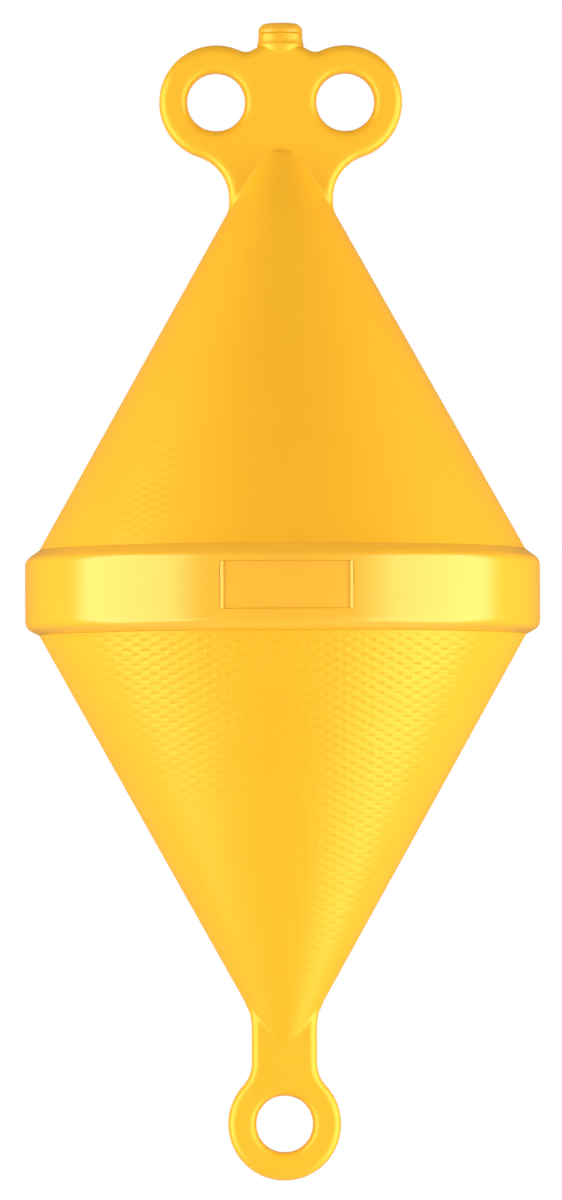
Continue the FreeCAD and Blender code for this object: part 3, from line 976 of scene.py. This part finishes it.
@dataclass(kw_only=True)
class EyeLug(Maker):
    """Flat lug with round eyes, blended into the cone that it stands on.

    Attributes:
        half: Whether it is the top or the bottom lug.
        cone_radius: Radius that the cone's side would reach at the waterline.
        cone_rise: Distance of the cone's sharp point from the waterline.
        blunt_level: Distance from the waterline at which the cone is cut flat, or 0.
        eyes: Middle (x, z) and radius of each eye's hole.
        thickness: Thickness of the lug.
        voxel: Grain of the remeshed surface.
        inset: How far the lug's root reaches under the cone's shell.
        passes: Smoothing passes over the whole lug.
        crease: Width of the zone in which the crease with the cone is softened.
        crease_passes: More passes in that zone.
        boss_foot: Level above which the foot of the filler's boss is softened.
        boss_reach: Distance from the axis within which it is softened.
        socket_reach: Distance from the axis within which the plug's socket stays sharp.
        boss_passes: More passes round the boss.
        eye_reach: Width of the zone round an eye's hole that is softened.
        eye_passes: More passes in that zone.
        smoothing: Strength of each pass.
        core_run: How far below the lug's root its core starts.
        core_short: How far the core ends short of the cone's sharp point.
        core_end: Smallest radius of the core's narrow end.
        core_segments: Faces round the core.
        filler_run: How far the filler runs on past the root and the core's end.
        filler_swell: How much wider than the cone it is.
        filler_drop: How far below the lug's faces it is cut.
        face_run: How far below the cone's cut the filler of the faces starts.
        face_drop: How far below the lug's faces that one is cut.
        covered: Share of the inset beyond which what lies under the shell is removed.
    """

    slot: str = "lug"
    half: Half
    cone_radius: float = 166.0 * MM
    cone_rise: float
    blunt_level: float = 0.0
    eyes: tuple[Place, ...]
    thickness: float = 20.0 * MM
    voxel: float = 0.7 * MM
    inset: float = 0.3 * MM
    passes: int = 11
    crease: float = 3.0 * MM
    crease_passes: int = 24
    boss_foot: float = 319.0 * MM
    boss_reach: float = 17.5 * MM
    socket_reach: float = 8.5 * MM
    boss_passes: int = 150
    eye_reach: float = 8.0 * MM
    eye_passes: int = 90
    smoothing: float = 0.5
    core_run: float = 6.0 * MM
    core_short: float = 5.5 * MM
    core_end: float = 0.5 * MM
    core_segments: int = 192
    filler_run: float = 1.0 * MM
    filler_swell: float = 0.6 * MM
    filler_drop: float = 0.6 * MM
    face_run: float = 2.0 * MM
    face_drop: float = 0.05 * MM
    covered: float = 0.93

    def radius_at(self, level: float) -> float:
        """Radius of the cone's side at a level."""
        return self.cone_radius * (1.0 - abs(level) / self.cone_rise)

    def cone(self, start: float, end: float, swell: float) -> Piece:
        """Solid part of the cone, grown or shrunk sideways.

        Args:
            start: Distance of its wide end from the waterline.
            end: Distance of its narrow end from the waterline.
            swell: How much larger its radius is than the cone's.

        Returns:
            The part.
        """
        narrow = max(self.radius_at(end) + swell, self.core_end)
        ends = ((self.radius_at(start) + swell, self.half.value * start),
                (narrow, self.half.value * end))
        return Bench.upright_cone("lug_core", self.half is Half.UPPER, ends,
                                  self.core_segments)

    def flat_cone(self, start: float, end: float, drop: float) -> Piece:
        """Swollen part of the cone, cut to less than the lug's thickness.

        Args:
            start: Distance of its wide end from the waterline.
            end: Distance of its narrow end from the waterline.
            drop: How far below each face of the lug it is cut.

        Returns:
            The part.
        """
        piece = self.cone(start, end, self.filler_swell)
        reach = self.thickness / 2 - drop
        for side in (-1.0, 1.0):
            with Bench.editing(piece, "FACE"):
                bpy.ops.mesh.select_all(action="SELECT")
                bpy.ops.mesh.bisect(plane_co=(0.0, side * reach, 0.0),
                                    plane_no=(0.0, side, 0.0), clear_outer=True, use_fill=True)
        return piece

    def model(self) -> Piece:
        """Model the lug.

        A core carries the cone on inside the lug, and fillers close the seat
        that the engineering node leaves round the cone's tip.

        Returns:
            The bare piece.
        """
        root = min(abs(corner.z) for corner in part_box(self.node))
        tip = self.cone_rise - self.core_short
        filled = tip + self.filler_run
        piece = self.copy_of_node()
        core_end = self.blunt_level - self.inset if self.blunt_level else tip
        parts = [piece, self.cone(root - self.core_run, core_end, -self.inset),
                 self.flat_cone(root - self.filler_run, filled, self.filler_drop)]
        if self.blunt_level:
            parts.append(self.flat_cone(self.blunt_level - self.face_run, filled,
                                        self.face_drop))
        Bench.clear()
        for part in parts:
            part.select_set(True)
        bpy.context.view_layer.objects.active = piece
        bpy.ops.object.join()
        Bench.apply_modifier(piece, "REMESH", mode="VOXEL", voxel_size=self.voxel,
                             use_smooth_shade=True)
        self.soften(piece)
        self.trim(piece)
        return piece

    def copy_of_node(self) -> Piece:
        """Copy the engineering node's mesh and merge it.

        Returns:
            The copy.
        """
        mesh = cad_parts[self.node].data.copy()
        piece = bpy.data.objects.new(f"{self.node}_lug", mesh)
        bpy.context.scene.collection.objects.link(piece)
        Bench.hold(piece)
        bpy.ops.mesh.customdata_custom_splitnormals_clear()
        Bench.face_outwards(piece)
        return piece

    def soften(self, piece: Piece) -> None:
        """Take the voxel grain off the surface and round the crease with the cone.

        Args:
            piece: The remeshed lug.
        """
        slope = math.cos(math.atan2(self.cone_radius, self.cone_rise))

        def near_eye(vert: Vert) -> bool:
            """Whether a vertex lies round the hole of an eye."""
            return any(math.hypot(vert.co.x - x, vert.co.z - z) < radius + self.eye_reach
                       for x, z, radius in self.eyes)

        def near_crease(vert: Vert) -> bool:
            """Whether a vertex lies along the crease with the cone."""
            away = (vert.co.xy.length - self.radius_at(vert.co.z)) * slope
            return abs(away) < self.crease and abs(vert.co.y) < self.thickness / 2 + self.crease

        def near_boss(vert: Vert) -> bool:
            """Whether a vertex lies on the filler's boss, outside the plug's socket."""
            return (vert.co.z > self.boss_foot
                    and self.socket_reach < vert.co.xy.length < self.boss_reach)

        with Bench.editing(piece):
            for wanted, passes in ((near_eye, self.eye_passes),
                                   (near_crease, self.crease_passes),
                                   (near_boss, self.boss_passes),
                                   (lambda vert: True, self.passes)):
                if Bench.pick(piece, "verts", wanted):
                    bpy.ops.mesh.vertices_smooth(factor=self.smoothing, repeat=passes)

    def trim(self, piece: Piece) -> None:
        """Remove what lies hidden under the cone's own shell.

        Args:
            piece: The softened lug.
        """
        cover = self.covered * self.inset
        top = self.blunt_level - self.face_run if self.blunt_level else self.cone_rise
        with Bench.editing(piece, "FACE"):
            Bench.pick(piece, "faces", lambda face: all(
                vert.co.xy.length < self.radius_at(vert.co.z) - cover
                and abs(vert.co.z) < top for vert in face.verts))
            bpy.ops.mesh.delete(type="FACE")


@dataclass(kw_only=True)
class FillerNeck(Maker):
    """Short tube that grows out of the top lug.

    Attributes:
        radius: Outside radius.
        bore: Radius of the bore.
        root: Level of the lug's top face.
        flare_level: Level where the flare has run out.
        rim: Level of the rim.
        flare: Radius of the flare.
        overlap: How far the flare's foot reaches under the lug's top face.
        hidden_foot: Offsets from the bore and the root of the points inside the lug.
        outer_round: Radius and steps of the arc round the rim's outside.
        inner_round: Radius and steps of the arc round the rim's inside.
        flare_steps: Straight pieces in the flare.
        segments: Faces round the axis.
    """

    node: str = "filler_neck"
    slot: str = "lug"
    sharp: float = 40.0
    radius: float = 13.7 * MM
    bore: float = 8.0 * MM
    root: float = 340.96 * MM
    flare_level: float = 344.56 * MM
    rim: float = 348.16 * MM
    flare: float = 8.0 * MM
    overlap: float = 0.35 * MM
    hidden_foot: tuple[Point, Point] = ((0.0, -5.0 * MM), (2.6 * MM, -6.2 * MM))
    outer_round: Round = (0.9 * MM, 5)
    inner_round: Round = (0.5 * MM, 4)
    flare_steps: int = 6
    segments: int = 128

    def model(self) -> Piece:
        """Turn the neck from its profile.

        Returns:
            The bare piece.
        """
        flared = []
        for step in range(self.flare_steps + 1):
            drop = (self.flare_level - self.root) * (1.0 - step / self.flare_steps)
            inwards = math.sqrt(self.flare ** 2 - drop ** 2)
            flared.append((self.radius + self.flare - inwards, self.flare_level - drop))
        foot = [(self.bore + out, self.root + up) for out, up in self.hidden_foot]
        outer = (self.radius, self.rim)
        inner = (self.bore, self.rim)
        profile = [
            *foot,
            (flared[0][0], self.root - self.overlap),
            *flared,
            *Bench.round_corner(flared[-1], outer, inner, *self.outer_round),
            *Bench.round_corner(outer, inner, (self.bore, self.root), *self.inner_round),
            (self.bore, self.root),
            foot[0],
        ]
        return Bench.turn("filler_neck_tube", profile, self.segments)


@dataclass(kw_only=True)
class FillerPlug(Maker):
    """Push-in plug with a domed head and a barbed stem.

    Attributes:
        radius: Radius of the head.
        stem: Radius of the stem.
        rim: Level of the neck's rim, on which the head sits.
        top: Level of the head's top.
        foot: Level of the stem's end.
        first_barb: Distance of the lowest barb from the stem's end.
        barb_pitch: Distance between barbs.
        barb: Offsets of a barb's points from the stem and from its own level.
        relief: Height of the smooth run under the head.
        crown: Share of the head's radius that its flat middle takes.
        crown_drop: How much lower that middle's edge is than the top.
        edge_drop: How much lower the dome's corner is than the top.
        barb_count: Number of barbs.
        stem_round: Radius and steps of the arc round the stem's end.
        groove_round: Radius and steps of the arc between the head's foot and its side.
        dome_round: Radius and steps of the arc round the head's top.
        segments: Faces round the axis.
    """

    node: str = "filler_plug"
    slot: str = "plug"
    body: str = "plug"
    sharp: float = 40.0
    radius: float = 13.7 * MM
    stem: float = 7.8 * MM
    rim: float = 348.16 * MM
    top: float = 354.46 * MM
    foot: float = 336.16 * MM
    first_barb: float = 3.0 * MM
    barb_pitch: float = 2.6 * MM
    barb: tuple[Point, ...] = ((-0.35 * MM, 0.0), (0.0, 0.5 * MM), (-0.1 * MM, 1.4 * MM))
    relief: float = 0.4 * MM
    crown: float = 0.35
    crown_drop: float = 0.05 * MM
    edge_drop: float = 0.25 * MM
    barb_count: int = 3
    stem_round: Round = (1.0 * MM, 4)
    groove_round: Round = (0.9 * MM, 5)
    dome_round: Round = (5.0 * MM, 10)
    segments: int = 128

    def model(self) -> Piece:
        """Turn the plug from its profile.

        Returns:
            The bare piece.
        """
        barbs = [(self.stem + out, self.foot + self.first_barb + self.barb_pitch * number + up)
                 for number in range(self.barb_count) for out, up in self.barb]
        pole = (0.0, self.foot)
        stem_top = (self.stem, self.rim)
        head_edge = (self.radius, self.rim)
        profile = [
            pole,
            *Bench.round_corner(pole, (self.stem, self.foot), stem_top, *self.stem_round),
            *barbs,
            (self.stem, self.rim - self.relief),
            stem_top,
            *Bench.round_corner(stem_top, head_edge, (self.radius, self.top),
                                *self.groove_round),
            *Bench.round_corner(head_edge, (self.radius, self.top - self.edge_drop),
                                (0.0, self.top), *self.dome_round),
            (self.radius * self.crown, self.top - self.crown_drop),
            (0.0, self.top),
        ]
        return Bench.turn("filler_plug_cap", profile, self.segments)


# -------- studio

def stand(data: bpy.types.Light | bpy.types.Camera, azimuth: float, distance: float,
          level: float) -> Piece:
    """Stand a lamp or camera in the scene.

    Args:
        data: The lamp or camera; the object takes its name.
        azimuth: Direction from the buoy, in degrees from -Y towards +X.
        distance: Distance from the axis.
        level: Level of its middle.

    Returns:
        The object.
    """
    thing = bpy.data.objects.new(data.name, data)
    bpy.context.scene.collection.objects.link(thing)
    turn = math.radians(azimuth)
    thing.location = (distance * math.sin(turn), -distance * math.cos(turn), level)
    return thing


@dataclass
class Softbox:
    """Large rectangular lamp near the buoy.

    Attributes:
        name: Name of the lamp.
        azimuth: Direction from the buoy, in degrees from -Y towards +X.
        distance: Distance from the axis.
        level: Level of its middle.
        width: Size from side to side.
        height: Size from bottom to top.
        glow: Brightness of its face, 1 being white.
        tilt: How far it looks up, in degrees.
        mirrored: Whether shiny surfaces mirror it.
    """

    name: str
    azimuth: float
    distance: float
    level: float
    width: float
    height: float
    glow: float
    tilt: float = 0.0
    mirrored: bool = True

    def build(self) -> None:
        """Place the lamp, facing the axis."""
        data = bpy.data.lights.new(self.name, "AREA")
        data.shape = "RECTANGLE"
        data.size = self.width
        data.size_y = self.height
        data.energy = math.pi * self.width * self.height * self.glow
        lamp = stand(data, self.azimuth, self.distance, self.level)
        lamp.rotation_euler = (math.radians(90.0 + self.tilt), 0.0, math.radians(self.azimuth))
        lamp.visible_camera = False
        lamp.visible_glossy = self.mirrored
        log.info("lamp %s", self.name)


@dataclass
class Studio:
    """Floor, lamps, surroundings and camera.

    Attributes:
        floor_level: Level of the floor.
        floor_radius: Radius of the floor.
        fill: Strength of the soft light from all round.
        eye_distance: Distance of the camera from the axis.
        eye_azimuth: Direction of the camera, in degrees from -Y towards +X.
        eye_level: Level of the camera.
        aim: Point that the camera looks at.
        lens: Focal length in millimetres.
        roll: Roll of the camera, in degrees.
    """

    MIRRORED_WHITE = 0.12

    floor_level: float = -1.3
    floor_radius: float = 40.0
    fill: float = 0.04
    eye_distance: float = 5.47
    eye_azimuth: float = -0.97
    eye_level: float = -0.148
    aim: Place = (-0.001, 0.0, -0.0046)
    lens: float = 264.0
    roll: float = -0.227
    boxes: list[Softbox] = field(default_factory=lambda: [
        Softbox("left_softbox", -66.5, 1.0, -0.14, 1.14, 1.9, 1.5),
        Softbox("left_strip", -70.5, 0.95, -0.08, 0.94, 1.8, 1.65),
        Softbox("right_softbox", 65.0, 1.0, -0.30, 1.24, 1.9, 1.6),
        Softbox("right_strip", 71.5, 0.95, -0.30, 1.06, 1.9, 1.6),
        Softbox("front_softbox", 0.0, 1.0, 0.05, 1.30, 2.0, 0.52),
        Softbox("back_softbox", 180.0, 1.2, -0.2, 1.60, 2.0, 2.0, mirrored=False),
        Softbox("left_rear_softbox", -116.0, 1.1, -0.1, 0.9, 1.6, 0.55, mirrored=False),
        Softbox("right_rear_softbox", 116.0, 1.1, -0.1, 0.9, 1.6, 0.3, mirrored=False),
        Softbox("top_softbox", 0.0, 0.0, 1.5, 2.4, 2.0, 0.95, -90.0, mirrored=False),
    ])

    @classmethod
    def seen_directly(cls, sheet: NodeSheet) -> Signal:
        """Tell rays from the camera from the rest.

        Args:
            sheet: Sheet of the floor's material or of the surroundings.

        Returns:
            1 for rays from the camera, less for mirrored and transmitted ones, else 0.
        """
        path = sheet.node("ShaderNodeLightPath")
        camera, mirrored, passed = (Signal(sheet, path.outputs[f"Is {kind} Ray"])
                                    for kind in ("Camera", "Glossy", "Transmission"))
        return camera.at_least((mirrored + passed) * cls.MIRRORED_WHITE)

    def build(self) -> None:
        """Build the floor, the lamps, the surroundings and the camera."""
        self.lay_floor()
        for box in self.boxes:
            box.build()
        self.light_surroundings()
        self.place_camera()

    def lay_floor(self) -> None:
        """Lay a wide round floor under the buoy."""
        Bench.clear()
        bpy.ops.mesh.primitive_circle_add(vertices=96, radius=self.floor_radius,
                                          fill_type="NGON",
                                          location=(0.0, 0.0, self.floor_level))
        floor = Bench.settle(bpy.context.active_object, "studio_floor")
        floor.data.materials.append(PaleFloor().build())

    def light_surroundings(self) -> None:
        """White surroundings to the eye, and a low even fill on the buoy."""
        world = bpy.data.worlds.new("studio_surroundings")
        bpy.context.scene.world = world
        sheet = NodeSheet.of(world)
        seen = self.seen_directly(sheet)
        fill, white = (sheet.node("ShaderNodeBackground",
                                  inputs={"Color": WHITE, "Strength": strength}).outputs[0]
                       for strength in (self.fill, 1.0))
        mixed = sheet.node("ShaderNodeMixShader", inputs={0: seen, 1: fill, 2: white})
        sheet.node("ShaderNodeOutputWorld", inputs={"Surface": mixed.outputs[0]})

    def place_camera(self) -> None:
        """Place the camera and make it the scene's camera."""
        data = bpy.data.cameras.new("studio_camera")
        data.lens = self.lens
        data.sensor_width = 36.0
        data.sensor_fit = "AUTO"
        data.clip_end = 100.0
        camera = stand(data, self.eye_azimuth, self.eye_distance, self.eye_level)
        look = (Vector(self.aim) - camera.location).to_track_quat("-Z", "Y").to_matrix()
        roll = Matrix.Rotation(math.radians(self.roll), 3, "Z")
        camera.rotation_euler = (look @ roll).to_euler()
        bpy.context.scene.camera = camera
        bpy.context.scene.view_settings.view_transform = "Standard"


# -------- buoy

@dataclass
class MooringBuoy:
    """The whole buoy, piece by piece.

    Attributes:
        yellow: Main colour of the plastic.
        amber: Its deeper tone, also used as painted shade in the lattice's hollows.
    """

    yellow: Colour = (0.91, 0.445, 0.019)
    amber: Colour = (0.88, 0.405, 0.014)

    def finish(self, name: str, **looks: object) -> Material:
        """Make one of the buoy's materials.

        Args:
            name: Name of the material.
            **looks: Fields of its finish, besides the colours.

        Returns:
            The material.
        """
        return MouldedPlastic(name=name, colour=self.yellow, deep=self.amber, **looks).build()

    def finishes(self) -> dict[str, Material]:
        """Make the buoy's materials.

        Returns:
            The materials, by slot.
        """
        return {
            "textured_shell": self.finish(
                "textured_polyethylene", roughness=0.35, roughness_spread=0.05,
                grain=0.03 * MM, wave=0.25 * MM, gloss=0.85, gloss_tint=(1.0, 1.0, 0.2),
                latticed=True),
            "smooth_shell": self.finish(
                "smooth_polyethylene", roughness=0.24, roughness_spread=0.04,
                grain=0.008 * MM, wave=0.2 * MM, gloss=1.1, gloss_tint=(1.0, 1.0, 0.52)),
            "lug": self.finish(
                "lug_polyethylene", roughness=0.34, roughness_spread=0.05,
                grain=0.012 * MM, wave=0.2 * MM, gloss=1.3, gloss_tint=(1.0, 1.0, 0.22)),
            "plug": self.finish(
                "plug_polyethylene", roughness=0.34, roughness_spread=0.04,
                grain=0.01 * MM, wave=0.05 * MM, gloss=0.9, gloss_tint=(1.0, 1.0, 0.5),
                parting=False),
        }

    @staticmethod
    def makers() -> list[Maker]:
        """Makers of the buoy's pieces.

        Returns:
            The makers, in the order in which they are built.
        """
        return [
            LatticeCone(node="upper_cone", half=Half.UPPER, blunt_radius=12.0 * MM,
                        rim_draw=0.9 * MM, relief=0.03 * MM, pit=0.05 * MM),
            LatticeCone(node="lower_cone", half=Half.LOWER, pitch_up=5.95 * MM,
                        pitch_fall=123.0, relief=0.10 * MM, pit=0.40 * MM,
                        reach=260.0 * MM, left_reach=122.0 * MM),
            WaistBand(),
            NamePanel(),
            EyeLug(node="top_eye_plate", half=Half.UPPER, cone_rise=296.0 * MM,
                   blunt_level=274.6 * MM, eyes=((-40.2 * MM, 305.3 * MM, 18.25 * MM),
                                                 (40.2 * MM, 305.3 * MM, 18.25 * MM))),
            EyeLug(node="bottom_eye", half=Half.LOWER, cone_rise=298.0 * MM,
                   eyes=((0.0, -330.0 * MM, 17.8 * MM),), crease=1.8 * MM, crease_passes=12),
            FillerNeck(),
            FillerPlug(),
        ]

    def build(self) -> None:
        """Build every piece and hand it to its body."""
        finishes = self.finishes()
        for maker in self.makers():
            piece = maker.build(finishes)
            log.info("%s: %d faces", piece.name, len(piece.data.polygons))


def main() -> None:
    """Build the buoy and the studio round it."""
    logging.basicConfig(level=logging.INFO, format="%(name)s: %(message)s")
    MooringBuoy().build()
    Studio().build()


if __name__ == "__main__":
    main()
